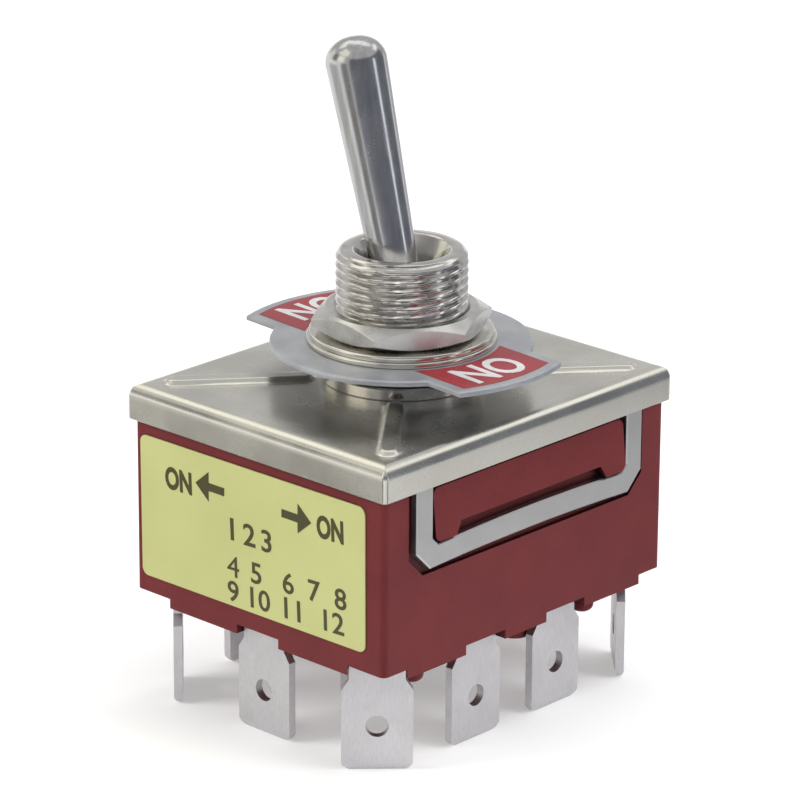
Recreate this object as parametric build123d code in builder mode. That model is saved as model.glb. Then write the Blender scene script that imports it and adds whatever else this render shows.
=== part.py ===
from build123d import *
from math import atan2, cos, degrees, radians, sin, sqrt, tan
import os

# Four-pole double-throw panel toggle switch with twelve push-on tabs, in millimetres.
# +Z runs up the bushing, the lever throws along X, and the label is on the -Y face.
# The origin is on the bushing's axis, in the plane of the tab tips.

# Moulded housing
housing_width = 31.1
housing_depth = 37.2
housing_wall = 1.7
housing_floor = 2.4
housing_corner = 0.6
body_drop = 17.3
tab_reach = 9.2
barrier_thickness = 1.2
notch_rise = 0.9
notch_margin = 0.1
foot_radius = 1.8
foot_height = 2.3
foot_inset = 3.95
foot_middle_gap = 1.06
outer_foot_radius = 1.1
outer_foot_length = 1.9
outer_foot_inset = 3.35
foot_tab_gap = 1.85
foot_rounding = 0.7
rim_shoulder_gap = 0.15

# Pressed steel cover with its two snap loops
cover_sheet = 0.8
cover_height = 3.27
cover_proud = 0.48
cover_gap = 0.05
cover_corner = 0.5
cover_bend = 1.1
seam_width = 0.3
seam_length = 3.2
loop_half = 15.0
loop_drop = 7.5
loop_bar = 2.1
loop_chamfer = 1.8
loop_bow = 0.3
loop_gap = 0.55
window_corner = 0.6
rib_width = 2.3
rib_height = 0.5
rib_taper = 30
rib_start = 8.4
rib_end = 21.6
rib_groove = 0.35

# Wedge bosses that the loops snap over
wedge_gap = 0.25
wedge_top_proud = 0.12
wedge_low_proud = 0.6
wedge_corner = 0.7
wedge_notch_half = 9.3
wedge_notch_height = 1.2
wedge_notch_slant = 0.7

# Insulating sheet under the cover
insulator_sheet = 0.5
insulator_gap = 0.2

# Threaded bushing and what is inside it; threads are plain walls, and where a nut is
# engaged both pieces are drawn at the thread's minor radius
thread_radius = 6.0
thread_minor_radius = 5.46
thread_length = 11.0
thread_chamfer = 0.6
collar_radius = 7.3
collar_height = 1.13
seat_radius = 6.6
swage_radius = 7.5
swage_height = 1.2
mouth_radius = 4.4
neck_radius = 2.95
neck_land = 0.4
ball_radius = 3.3
ball_clearance = 0.05
pivot_depth = 5.3
counterbore_radius = 4.6
sleeve_mouth_radius = 3.9
pin_radius = 0.75
pin_bore_radius = 0.8
pin_end_gap = 0.1
keyway_gap = 0.02

# Lever
lever_length = 24.5
lever_tilt = 15.0
lever_root_radius = 2.1
lever_tip_radius = 2.8
dome_height = 2.3
dome_shoulder = 0.75
arm_length = 12.6
arm_root_radius = 1.3
arm_end_radius = 1.05
drive_ball_radius = 1.6

# Panel hardware on the bushing
nut_across_flats = 14.5
nut_chamfer_angle = 28
nut_bore_gap = 0.02
washer_bore_gap = 0.15
lower_nut_thickness = 1.9
upper_nut_thickness = 2.15
upper_nut_turn = -4
lower_nut_turn = 17
washer_radius = 8.65
washer_thickness = 0.5
lock_washer_radius = 8.4
lock_washer_thickness = 0.55
lock_tooth_count = 10
lock_tooth_width = 1.5
lock_tooth_length = 1.0
legend_thickness = 0.45
legend_disc_radius = 11.95
legend_wing_radius = 15.56
legend_wing_half = 6.2
legend_turn = -4.2

# Label
label_width = 28.0
label_height = 13.55
label_corner = 0.75
label_thickness = 0.12
label_turn = 0.4
label_shift = -0.66
label_middle_drop = 7.9

# Push-on tabs
sheet = 0.8
tab_width = 6.35
neck_width = 5.0
tab_hole_radius = 1.03
tab_hole_height = 4.2
tab_shoulder_height = 7.65
tab_shoulder_slant = 1.0
tab_corner = 0.85
tab_bevel_depth = 0.25
tab_bevel_length = 0.6
slot_gap = 0.05
end_tab_inset = 1.2
side_tab_inset = 1.52
side_tab_shift = 1.07
corner_tab_inset_x = 2.99
corner_tab_inset_y = 2.32

# Contacts and rockers
pole_count = 4
outer_pole_inset = 5.7
pad_width = 4.4
rivet_radius = 1.5
rivet_head = 0.8
shank_radius = 0.8
rocker_head = 0.7
contact_gap = 0.05
contact_reach = 8.2
rocker_half_length = 9.9
rocker_width = 4.0
rocker_tilt = 6.0
rocker_corner = 1.4
trunnion_radius = 0.5
trunnion_gap = 0.05
ear_gap = 0.2
ear_rim = 0.5
ear_width = 5.0

# Actuator carriage with its sprung plungers
carriage_width = 7.4
drive_ball_cover = 1.9
carriage_gap = 0.05
carriage_end_gap = 0.1
rider_length = 1.6
barrier_height = 6.55
drive_hole_gap = 0.06
drive_floor_gap = 0.2
plunger_radius = 2.1
plunger_gap = 0.05
plunger_hover = 0.12
plunger_length = 5.8
plunger_tip_rounding = 1.9
plunger_wall = 0.4
plunger_floor = 1.7
bore_roof = 1.9
wire_radius = 0.2
coil_gap = 0.1
coil_turns = 4

# Heights above the tab tips
housing_low = tab_reach
floor_top = housing_low + housing_floor
cover_low = housing_low + body_drop
cover_top = cover_low + cover_height
cover_under = cover_top - cover_sheet
housing_top = cover_under - insulator_sheet
shoulder_top = cover_low - rim_shoulder_gap
collar_top = cover_top + collar_height
bushing_low = cover_under - swage_height
bushing_top = collar_top + thread_length
pivot_height = bushing_top - pivot_depth
legend_low = collar_top + lower_nut_thickness
washer_low = legend_low + legend_thickness
lock_washer_low = washer_low + washer_thickness
upper_nut_low = lock_washer_low + lock_washer_thickness
upper_nut_top = upper_nut_low + upper_nut_thickness
foot_top = floor_top + sheet
barrier_top = floor_top + barrier_height
carriage_low = barrier_top + carriage_gap
carriage_top = pivot_height - arm_length + drive_ball_cover
carriage_height = carriage_top - carriage_low
rider_top = housing_top - carriage_gap

# Half sizes in plan
half_width = housing_width / 2
half_depth = housing_depth / 2
cavity_half_width = half_width - housing_wall
cavity_half_depth = half_depth - housing_wall
cover_half_width = half_width + cover_proud
cover_half_depth = half_depth + cover_proud
rim_half_width = cover_half_width - cover_sheet - cover_gap
rim_half_depth = cover_half_depth - cover_sheet - cover_gap
corner_tab_reach = (corner_tab_inset_x + corner_tab_inset_y) / sqrt(2)

# Poles: rows along Y, the common terminal between two fixed ones along X
poles = range(1, pole_count + 1)
pole_pitch = (housing_depth - 2 * outer_pole_inset) / (pole_count - 1)
rows = [pole_pitch * (pole - (pole_count + 1) / 2) for pole in poles]
barriers = [(before + after) / 2 for before, after in zip(rows, rows[1:])]
outer_row = max(rows)
inner_row = min(abs(row) for row in rows)
side_tab_row = inner_row + side_tab_shift
foot_row_inner = foot_radius + foot_middle_gap
foot_row_outer = side_tab_row + tab_width / 2 + outer_foot_radius + foot_tab_gap

# Rocker pivots lie where a closed contact leaves the named gap above its rivet
rocker_half_sheet = sheet / 2
rocker_pivot_height = foot_top + rivet_head + contact_gap + rocker_head + rocker_half_sheet
carriage_rest = arm_length * sin(radians(lever_tilt))
drive_hole_low = pivot_height - arm_length - drive_ball_radius - drive_floor_gap
plunger_low = rocker_pivot_height + rocker_half_sheet + plunger_hover
coil_radius = plunger_radius - plunger_wall - coil_gap - wire_radius
coil_low = plunger_low + plunger_floor + wire_radius
coil_high = carriage_top - bore_roof - wire_radius


def finish(piece, name):
    """Label a finished piece and write it to its own STEP file."""
    piece.part.label = name
    export_step(piece.part, f"parts/{name}.step")


def side_of(value):
    """Sign of a coordinate, 0 on the middle line."""
    return (value > 0) - (value < 0)


def terminal_layout():
    """Name, tab centre, tab turn about Z and inner pad centre of all twelve terminals."""
    layout = []
    for pole, row in zip(poles, rows):
        outer = abs(row) == outer_row
        y_side = side_of(row)
        if outer:
            common_tab = (0, y_side * (half_depth - end_tab_inset))
            common_turn = 0
        else:
            common_tab = (0, row)
            common_turn = 90
        layout.append((f"pole_{pole}_common_terminal", common_tab, common_turn, (0, row)))
        for side, word in ((-1, "left"), (1, "right")):
            if outer:
                tab_x = side * (half_width - corner_tab_inset_x)
                tab_y = y_side * (half_depth - corner_tab_inset_y)
                turn = -side * y_side * 45
            else:
                tab_x = side * (half_width - side_tab_inset)
                tab_y = y_side * side_tab_row
                turn = 90
            name = f"pole_{pole}_{word}_terminal"
            layout.append((name, (tab_x, tab_y), turn, (side * contact_reach, row)))
    return layout


terminals = terminal_layout()
ear_inner = rocker_width / 2 + ear_gap
ear_outer = ear_inner + sheet


def inner_foot(tab, turn, pad, grow=0.0):
    """Plan of the terminal's foot on the housing floor, from its neck to its pad."""
    pad_depth = 2 * ear_outer if pad[0] == 0 else pad_width
    with Locations(tab):
        Rectangle(neck_width + 2 * grow, sheet + 2 * grow, rotation=turn)
    with Locations(pad):
        Rectangle(pad_width + 2 * grow, pad_depth + 2 * grow)
    make_hull()


# Wedge boss on the +X face: its face slopes out to the lower edge, with a pry notch
window_half = loop_half - loop_bar
loop_low = cover_low - loop_drop
window_low = loop_low + loop_bar
wedge_low = window_low + wedge_gap
wedge_high = cover_low - wedge_gap
wedge_half = window_half - wedge_gap

with BuildPart() as wedge_boss:
    with BuildSketch(Plane.XZ):
        with BuildLine():
            Polyline(
                (rim_half_width, wedge_low),
                (half_width + wedge_low_proud, wedge_low),
                (half_width + wedge_top_proud, wedge_high),
                (rim_half_width, wedge_high),
                close=True,
            )
        make_face()
    extrude(amount=wedge_half, both=True)
    fillet(wedge_boss.edges().filter_by(Axis.X), wedge_corner)
    with BuildSketch(Plane.YZ.offset(rim_half_width)):
        with BuildLine():
            Polyline(
                (-wedge_notch_half, wedge_low + wedge_notch_height),
                (wedge_notch_half, wedge_low + wedge_notch_height),
                (wedge_notch_half + wedge_notch_slant, wedge_low),
                (-wedge_notch_half - wedge_notch_slant, wedge_low),
                close=True,
            )
        make_face()
    extrude(amount=housing_wall, mode=Mode.SUBTRACT)

# Housing: moulded box with a rebated rim, four pole bays, tab notches and round feet
with BuildPart() as housing:
    with BuildSketch(Plane.XY.offset(housing_low)):
        RectangleRounded(housing_width, housing_depth, housing_corner)
    extrude(amount=shoulder_top - housing_low)
    with BuildSketch(Plane.XY.offset(shoulder_top)):
        RectangleRounded(2 * rim_half_width, 2 * rim_half_depth, housing_corner)
    extrude(amount=housing_top - shoulder_top)
    with BuildSketch(Plane.XY.offset(housing_low)):
        for tab_name, (tab_x, tab_y), turn, pad in terminals:
            if abs(turn) == 45:
                outward = corner_tab_reach / 2 / sqrt(2)
                with Locations((tab_x + side_of(tab_x) * outward, tab_y + side_of(tab_y) * outward)):
                    Rectangle(neck_width + 2 * notch_margin, corner_tab_reach + 2 * sheet, rotation=turn)
            if abs(turn) != 45 and tab_x != 0:
                outward = side_of(tab_x) * housing_wall / 2
                with Locations((tab_x + outward, tab_y)):
                    Rectangle(housing_wall + 2 * sheet, neck_width + 2 * notch_margin)
            if abs(turn) != 45 and abs(tab_y) > cavity_half_depth:
                outward = side_of(tab_y) * housing_wall / 2
                with Locations((tab_x, tab_y + outward)):
                    Rectangle(neck_width + 2 * notch_margin, housing_wall + 2 * sheet)
    extrude(amount=notch_rise, mode=Mode.SUBTRACT)
    with BuildSketch(Plane.XY.offset(floor_top)):
        Rectangle(2 * cavity_half_width, 2 * cavity_half_depth)
        with Locations(*[(0, y) for y in barriers]):
            Rectangle(2 * cavity_half_width, barrier_thickness, mode=Mode.SUBTRACT)
    extrude(amount=barrier_height, mode=Mode.SUBTRACT)
    with BuildSketch(Plane.XY.offset(barrier_top)):
        Rectangle(2 * cavity_half_width, 2 * cavity_half_depth)
    extrude(amount=housing_top - barrier_top, mode=Mode.SUBTRACT)
    with BuildSketch(Plane.XY.offset(housing_low)):
        with GridLocations(2 * (half_width - foot_inset), 2 * foot_row_inner, 2, 2):
            Circle(foot_radius)
        with GridLocations(2 * (half_width - outer_foot_inset) - outer_foot_length, 2 * foot_row_outer, 2, 2):
            SlotCenterToCenter(outer_foot_length, 2 * outer_foot_radius)
    extrude(amount=-foot_height)
    fillet(housing.edges().group_by(Axis.Z)[0], foot_rounding)
    for side in (-1, 1):
        with BuildSketch(Plane.YZ.offset(side * rim_half_width)):
            with BuildLine():
                pocket_half = loop_half + loop_gap
                pocket_low = loop_low - loop_gap
                Polyline(
                    (-pocket_half, shoulder_top),
                    (-pocket_half, pocket_low + loop_chamfer),
                    (-pocket_half + loop_chamfer, pocket_low),
                    (pocket_half - loop_chamfer, pocket_low),
                    (pocket_half, pocket_low + loop_chamfer),
                    (pocket_half, shoulder_top),
                    close=True,
                )
            make_face()
        extrude(amount=side * housing_wall, mode=Mode.SUBTRACT)
    add(wedge_boss.part)
    add(wedge_boss.part.mirror(Plane.YZ))
    for tab_name, tab, turn, pad in terminals:
        with BuildSketch(Plane.XY.offset(housing_low)):
            with Locations(tab):
                Rectangle(neck_width + 2 * slot_gap, sheet + 2 * slot_gap, rotation=turn)
        extrude(amount=housing_floor, mode=Mode.SUBTRACT)
        with BuildSketch(Plane.XY.offset(floor_top)):
            inner_foot(tab, turn, pad, slot_gap)
        extrude(amount=sheet + slot_gap, mode=Mode.SUBTRACT)
finish(housing, "housing")

# Cover: pressed cap with bent edges, corner seams, four diagonal ribs and a snap loop each side
rib_angle = degrees(atan2(cover_half_depth, cover_half_width))
with BuildPart() as cover_plate:
    with BuildSketch(Plane.XY.offset(cover_low)):
        RectangleRounded(2 * cover_half_width, 2 * cover_half_depth, cover_corner)
    extrude(amount=cover_height)
    fillet(cover_plate.edges().group_by(Axis.Z)[-1], cover_bend)
    with BuildSketch(Plane.XY.offset(cover_low)):
        Rectangle(2 * (cover_half_width - cover_sheet), 2 * (cover_half_depth - cover_sheet))
    extrude(amount=cover_height - cover_sheet, mode=Mode.SUBTRACT)
    with BuildSketch(Plane.XY.offset(cover_low)):
        seam_middle_x = cover_half_width - cover_sheet
        seam_middle_y = cover_half_depth - cover_sheet
        with Locations((seam_middle_x, seam_middle_y), (-seam_middle_x, -seam_middle_y)):
            Rectangle(seam_length, seam_width, rotation=45)
        with Locations((-seam_middle_x, seam_middle_y), (seam_middle_x, -seam_middle_y)):
            Rectangle(seam_length, seam_width, rotation=-45)
    extrude(amount=cover_height - cover_bend - cover_sheet, mode=Mode.SUBTRACT)
    for side in (-1, 1):
        with BuildSketch(Plane.YZ.offset(side * (cover_half_width - cover_sheet))) as loop_face:
            with BuildLine():
                low_line = Polyline(
                    (-loop_half + loop_chamfer, loop_low),
                    (-loop_half, loop_low + loop_chamfer),
                    (-loop_half, cover_low + cover_sheet),
                    (loop_half, cover_low + cover_sheet),
                    (loop_half, loop_low + loop_chamfer),
                    (loop_half - loop_chamfer, loop_low),
                )
                ThreePointArc(low_line @ 1, (0, loop_low + loop_bow), low_line @ 0)
            make_face()
            with BuildLine():
                window_line = Polyline(
                    (-window_half, window_low),
                    (-window_half, cover_low),
                    (window_half, cover_low),
                    (window_half, window_low),
                )
                ThreePointArc(window_line @ 1, (0, window_low + loop_bow), window_line @ 0)
            make_face(mode=Mode.SUBTRACT)
            window_corners = loop_face.vertices().filter_by(
                lambda corner: abs(corner.X) < loop_half - loop_bar / 2 and loop_low < corner.Y <= cover_low
            )
            fillet(window_corners, window_corner)
        extrude(amount=side * cover_sheet)
    rib_middle = (rib_start + rib_end) / 2
    for angle in (rib_angle, 180 - rib_angle, 180 + rib_angle, -rib_angle):
        rib_place = (rib_middle * cos(radians(angle)), rib_middle * sin(radians(angle)))
        with BuildSketch(Plane.XY.offset(cover_top)):
            with Locations(rib_place):
                SlotOverall(rib_end - rib_start, rib_width, rotation=angle)
        extrude(amount=rib_height, taper=rib_taper)
        with BuildSketch(Plane.XY.offset(cover_under)):
            with Locations(rib_place):
                SlotOverall(rib_end - rib_start - rib_width, rib_width / 2, rotation=angle)
        extrude(amount=rib_groove, mode=Mode.SUBTRACT)
    with BuildSketch(Plane.XY.offset(cover_under)):
        Circle(seat_radius)
    extrude(amount=cover_sheet, mode=Mode.SUBTRACT)
finish(cover_plate, "cover_plate")

# Insulating sheet between the housing's rim and the cover, open under the bushing
with BuildPart() as insulating_sheet:
    with BuildSketch(Plane.XY.offset(housing_top)):
        RectangleRounded(2 * rim_half_width, 2 * rim_half_depth, housing_corner)
        Circle(swage_radius + insulator_gap, mode=Mode.SUBTRACT)
    extrude(amount=insulator_sheet)
finish(insulating_sheet, "insulating_sheet")

# Bushing: one turned piece, swaged into the cover, with the lever's ball seat inside
seat_sphere = ball_radius + ball_clearance
neck_height = pivot_height + sqrt(seat_sphere**2 - neck_radius**2)
sleeve_top = pivot_height - pin_radius - ball_clearance
seat_turn = atan2(neck_height - pivot_height, neck_radius) / 2
mid_seat = (seat_sphere * cos(seat_turn), pivot_height + seat_sphere * sin(seat_turn))
with BuildPart() as bushing:
    with BuildSketch(Plane.XZ):
        with BuildLine():
            outside = Polyline(
                (counterbore_radius, sleeve_top),
                (counterbore_radius, bushing_low),
                (swage_radius, bushing_low),
                (swage_radius, cover_under),
                (seat_radius, cover_under),
                (seat_radius, cover_top),
                (collar_radius, cover_top),
                (collar_radius, collar_top),
                (thread_minor_radius, collar_top),
                (thread_minor_radius, legend_low),
                (thread_radius, legend_low),
                (thread_radius, upper_nut_low),
                (thread_minor_radius, upper_nut_low),
                (thread_minor_radius, upper_nut_top),
                (thread_radius, upper_nut_top),
                (thread_radius, bushing_top - thread_chamfer),
                (thread_radius - thread_chamfer, bushing_top),
                (mouth_radius, bushing_top),
                (neck_radius, neck_height + neck_land),
                (neck_radius, neck_height),
            )
            ThreePointArc(outside @ 1, mid_seat, (seat_sphere, pivot_height))
            Polyline(
                (seat_sphere, pivot_height), (seat_sphere, sleeve_top), (counterbore_radius, sleeve_top)
            )
        make_face()
    revolve(axis=Axis.Z)
    with BuildSketch(Plane.XZ):
        keyway_half = pin_radius + keyway_gap
        with Locations((0, pivot_height)):
            Circle(keyway_half)
        with Locations((0, sleeve_top)):
            Rectangle(2 * keyway_half, pivot_height - sleeve_top, align=(Align.CENTER, Align.MIN))
    extrude(amount=counterbore_radius, both=True, mode=Mode.SUBTRACT)
finish(bushing, "bushing")

# Sleeve pressed into the bushing from below, which holds up the pin and the ball
ball_low = pivot_height - ball_radius
with BuildPart() as bushing_sleeve:
    with BuildSketch(Plane.XZ):
        with BuildLine():
            Polyline(
                (seat_sphere, sleeve_top),
                (counterbore_radius, sleeve_top),
                (counterbore_radius, bushing_low),
                (sleeve_mouth_radius, bushing_low),
                (seat_sphere, ball_low),
                close=True,
            )
        make_face()
    revolve(axis=Axis.Z)
finish(bushing_sleeve, "bushing_sleeve")

# Cross pin that the lever turns on, its ends in the bushing's keyways
pin_half = counterbore_radius - pin_end_gap
with BuildPart() as pivot_pin:
    with BuildSketch(Plane.XZ):
        with Locations((0, pivot_height)):
            Circle(pin_radius)
    extrude(amount=pin_half, both=True)
finish(pivot_pin, "pivot_pin")

# Lever: one turned piece with its pivot ball, domed handle, lower arm and drive ball
tilt = radians(lever_tilt)
lever_plane = Plane(
    origin=(0, 0, pivot_height), x_dir=(cos(tilt), 0, sin(tilt)), z_dir=(0, -1, 0)
)
root_height = sqrt(ball_radius**2 - lever_root_radius**2)
arm_start = -sqrt(ball_radius**2 - arm_root_radius**2)
arm_end = -arm_length + sqrt(drive_ball_radius**2 - arm_end_radius**2)
dome_start = lever_length - dome_height
with BuildPart() as lever:
    with BuildSketch(lever_plane):
        with BuildLine():
            handle = Polyline(
                (lever_root_radius, root_height), (lever_tip_radius, dome_start)
            )
            Spline(
                handle @ 1,
                (lever_tip_radius * dome_shoulder, dome_start + dome_height * dome_shoulder),
                (0, lever_length),
                tangents=[(0, 1), (-1, 0)],
            )
            Line((0, lever_length), (0, -arm_length - drive_ball_radius))
            ThreePointArc(
                (0, -arm_length - drive_ball_radius),
                (drive_ball_radius, -arm_length),
                (arm_end_radius, arm_end),
            )
            Line((arm_end_radius, arm_end), (arm_root_radius, arm_start))
            ThreePointArc(
                (arm_root_radius, arm_start), (ball_radius, 0), (lever_root_radius, root_height)
            )
        make_face()
    revolve(axis=Axis(lever_plane.origin, lever_plane.y_dir))
    with BuildSketch(Plane.XZ):
        with Locations((0, pivot_height)):
            Circle(pin_bore_radius)
    extrude(amount=ball_radius, both=True, mode=Mode.SUBTRACT)
finish(lever, "lever")


def hex_nut(name, low, thickness, turn):
    """Thin hexagonal nut, chamfered on both faces."""
    corner_radius = nut_across_flats / 2 / cos(radians(30))
    drop = (corner_radius - nut_across_flats / 2) * tan(radians(nut_chamfer_angle))
    with BuildPart() as nut:
        with BuildSketch(Plane.XY.offset(low)):
            RegularPolygon(nut_across_flats / 2, 6, major_radius=False, rotation=turn)
            Circle(thread_minor_radius + nut_bore_gap, mode=Mode.SUBTRACT)
        extrude(amount=thickness)
        with BuildSketch(Plane.XZ):
            with BuildLine():
                Polyline(
                    (0, low),
                    (nut_across_flats / 2, low),
                    (corner_radius, low + drop),
                    (corner_radius, low + thickness - drop),
                    (nut_across_flats / 2, low + thickness),
                    (0, low + thickness),
                    close=True,
                )
            make_face()
        revolve(axis=Axis.Z, mode=Mode.INTERSECT)
    finish(nut, name)


hex_nut("lower_nut", collar_top, lower_nut_thickness, lower_nut_turn)
hex_nut("upper_nut", upper_nut_low, upper_nut_thickness, upper_nut_turn)

# Legend plate: a disc with two lettered wings, turned a little on the bushing
with BuildPart() as legend_plate:
    with BuildSketch(Plane.XY.offset(legend_low).rotated((0, 0, legend_turn))):
        Circle(legend_wing_radius)
        Rectangle(2 * legend_wing_radius, 2 * legend_wing_half, mode=Mode.INTERSECT)
        Circle(legend_disc_radius)
        Circle(thread_radius + washer_bore_gap, mode=Mode.SUBTRACT)
    extrude(amount=legend_thickness)
finish(legend_plate, "legend_plate")

# Plain washer
with BuildPart() as plain_washer:
    with BuildSketch(Plane.XY.offset(washer_low)):
        Circle(washer_radius)
        Circle(thread_radius + washer_bore_gap, mode=Mode.SUBTRACT)
    extrude(amount=washer_thickness)
finish(plain_washer, "plain_washer")

# Lock washer with internal teeth
with BuildPart() as lock_washer:
    with BuildSketch(Plane.XY.offset(lock_washer_low)):
        Circle(lock_washer_radius)
        Circle(thread_radius + lock_tooth_length, mode=Mode.SUBTRACT)
        with PolarLocations(thread_radius + lock_tooth_length, lock_tooth_count):
            Rectangle(2 * lock_tooth_length, lock_tooth_width)
        Circle(thread_radius + washer_bore_gap, mode=Mode.SUBTRACT)
    extrude(amount=lock_washer_thickness)
finish(lock_washer, "lock_washer")

# Label stuck on the -Y face, slightly askew
with BuildPart() as rating_label:
    with BuildSketch(Plane.XZ.offset(half_depth)):
        with Locations((label_shift, cover_low - label_middle_drop)):
            RectangleRounded(label_width, label_height, label_corner, rotation=label_turn)
    extrude(amount=label_thickness)
finish(rating_label, "rating_label")


def tab_and_neck(tab, turn):
    """Push-on tab with bevelled tip, detent hole, slanted shoulders and neck."""
    along = (cos(radians(turn)), sin(radians(turn)), 0)
    facing = (sin(radians(turn)), -cos(radians(turn)), 0)
    with BuildPart() as blade:
        with BuildSketch(Plane(origin=(*tab, 0), x_dir=along, z_dir=facing)):
            with BuildLine():
                Polyline(
                    (-tab_width / 2, 0),
                    (-tab_width / 2, tab_shoulder_height),
                    (-neck_width / 2, tab_shoulder_height + tab_shoulder_slant),
                    (-neck_width / 2, foot_top),
                    (neck_width / 2, foot_top),
                    (neck_width / 2, tab_shoulder_height + tab_shoulder_slant),
                    (tab_width / 2, tab_shoulder_height),
                    (tab_width / 2, 0),
                    close=True,
                )
            outline = make_face()
            fillet(outline.vertices().group_by(Axis.Y)[0], tab_corner)
            with Locations((0, tab_hole_height)):
                Circle(tab_hole_radius, mode=Mode.SUBTRACT)
        extrude(amount=sheet / 2, both=True)
        with BuildSketch(Plane(origin=(*tab, 0), x_dir=facing, z_dir=tuple(-step for step in along))):
            with BuildLine():
                Polyline(
                    (-sheet / 2, foot_top),
                    (-sheet / 2, tab_bevel_length),
                    (-sheet / 2 + tab_bevel_depth, 0),
                    (sheet / 2 - tab_bevel_depth, 0),
                    (sheet / 2, tab_bevel_length),
                    (sheet / 2, foot_top),
                    close=True,
                )
            make_face()
        extrude(amount=tab_width, both=True, mode=Mode.INTERSECT)
    return blade


# Terminals: a tab outside, a foot on the floor inside, and cradle ears on the common ones
for name, tab, turn, pad in terminals:
    blade = tab_and_neck(tab, turn)
    with BuildPart() as terminal:
        add(blade.part)
        with BuildSketch(Plane.XY.offset(floor_top)):
            inner_foot(tab, turn, pad)
            if pad[0] != 0:
                with Locations(pad):
                    Circle(shank_radius, mode=Mode.SUBTRACT)
        extrude(amount=sheet)
        if pad[0] == 0:
            for ear_side in (-1, 1):
                ear_plane = Plane.XZ.offset(-(pad[1] + ear_side * (ear_inner + ear_outer) / 2))
                with BuildSketch(ear_plane):
                    with Locations((0, floor_top)):
                        ear_height = rocker_pivot_height + ear_rim - floor_top
                        Rectangle(ear_width, ear_height, align=(Align.CENTER, Align.MIN))
                    with Locations((0, rocker_pivot_height)):
                        SlotCenterPoint(
                            (0, ear_rim), (0, 0), 2 * (trunnion_radius + trunnion_gap), mode=Mode.SUBTRACT
                        )
                extrude(amount=sheet / 2, both=True)
    finish(terminal, name)

# Fixed contact rivets, one on each outer terminal's pad
with BuildPart() as fixed_contact_rivets:
    with BuildSketch(Plane.XY.offset(floor_top)):
        with Locations(*[pad for name, tab, turn, pad in terminals if pad[0] != 0]):
            Circle(shank_radius)
    extrude(amount=sheet)
    with BuildSketch(Plane.XY.offset(foot_top)):
        with Locations(*[pad for name, tab, turn, pad in terminals if pad[0] != 0]):
            Circle(rivet_radius)
    extrude(amount=rivet_head)
finish(fixed_contact_rivets, "fixed_contact_rivets")

# Rockers: V-shaped contact bars on trunnions, one in each pole, closed on the right at rest
rocker_turn = radians(rocker_tilt)
arm_rise = rocker_half_length * tan(rocker_turn)
for pole, row in zip(poles, rows):
    rocker_plane = Plane(
        origin=(0, row, rocker_pivot_height),
        x_dir=(cos(rocker_turn), 0, -sin(rocker_turn)),
        z_dir=(0, -1, 0),
    )
    right_arm = Plane(origin=(0, row, rocker_pivot_height), x_dir=(1, 0, 0), z_dir=(0, 0, 1))
    left_arm = Plane(
        origin=(0, row, rocker_pivot_height),
        x_dir=(cos(2 * rocker_turn), 0, -sin(2 * rocker_turn)),
        z_dir=(sin(2 * rocker_turn), 0, cos(2 * rocker_turn)),
    )
    with BuildPart() as rocker:
        with BuildSketch(rocker_plane):
            with BuildLine():
                Polyline(
                    (-rocker_half_length, arm_rise + rocker_half_sheet),
                    (0, rocker_half_sheet),
                    (rocker_half_length, arm_rise + rocker_half_sheet),
                    (rocker_half_length, arm_rise - rocker_half_sheet),
                    (0, -rocker_half_sheet),
                    (-rocker_half_length, arm_rise - rocker_half_sheet),
                    close=True,
                )
            make_face()
        extrude(amount=rocker_width / 2, both=True)
        end_edges = rocker.edges().filter_by(Axis(rocker_plane.origin, rocker_plane.y_dir))
        fillet(end_edges, rocker_corner)
        with BuildSketch(rocker_plane):
            Circle(trunnion_radius)
        extrude(amount=ear_outer, both=True)
        for arm, reach in ((right_arm, contact_reach), (left_arm, -contact_reach)):
            with BuildSketch(arm.offset(-sheet)):
                with Locations((reach, 0)):
                    Circle(shank_radius)
            extrude(amount=2 * sheet, mode=Mode.SUBTRACT)
    finish(rocker, f"rocker_{pole}")
    with BuildPart() as rocker_contacts:
        for arm, reach in ((right_arm, contact_reach), (left_arm, -contact_reach)):
            with BuildSketch(arm.offset(-rocker_half_sheet)):
                with Locations((reach, 0)):
                    Circle(shank_radius)
            extrude(amount=sheet)
            with BuildSketch(arm.offset(-rocker_half_sheet - rocker_head)):
                with Locations((reach, 0)):
                    Circle(rivet_radius)
            extrude(amount=rocker_head)
    finish(rocker_contacts, f"rocker_contacts_{pole}")

# Carriage: slides on the barriers, driven by the lever's ball, with a bore for each plunger
carriage_length = 2 * (cavity_half_depth - carriage_end_gap)
bore_depth = carriage_height - bore_roof
with BuildPart() as actuator_carriage:
    with BuildSketch(Plane.XY.offset(carriage_low)):
        with Locations((carriage_rest, 0)):
            Rectangle(carriage_width, carriage_length)
    extrude(amount=carriage_height)
    with BuildSketch(Plane.XY.offset(carriage_top)):
        rider_middle = (carriage_length - rider_length) / 2
        with Locations((carriage_rest, rider_middle), (carriage_rest, -rider_middle)):
            Rectangle(carriage_width, rider_length)
    extrude(amount=rider_top - carriage_top)
    with BuildSketch(Plane.XY.offset(carriage_low)):
        with Locations(*[(carriage_rest, row) for row in rows]):
            Circle(plunger_radius + plunger_gap)
    extrude(amount=bore_depth, mode=Mode.SUBTRACT)
    with BuildSketch(Plane.XY.offset(carriage_top)):
        with Locations((carriage_rest, 0)):
            Circle(drive_ball_radius + drive_hole_gap)
    extrude(amount=drive_hole_low - carriage_top, mode=Mode.SUBTRACT)
finish(actuator_carriage, "actuator_carriage")

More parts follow.
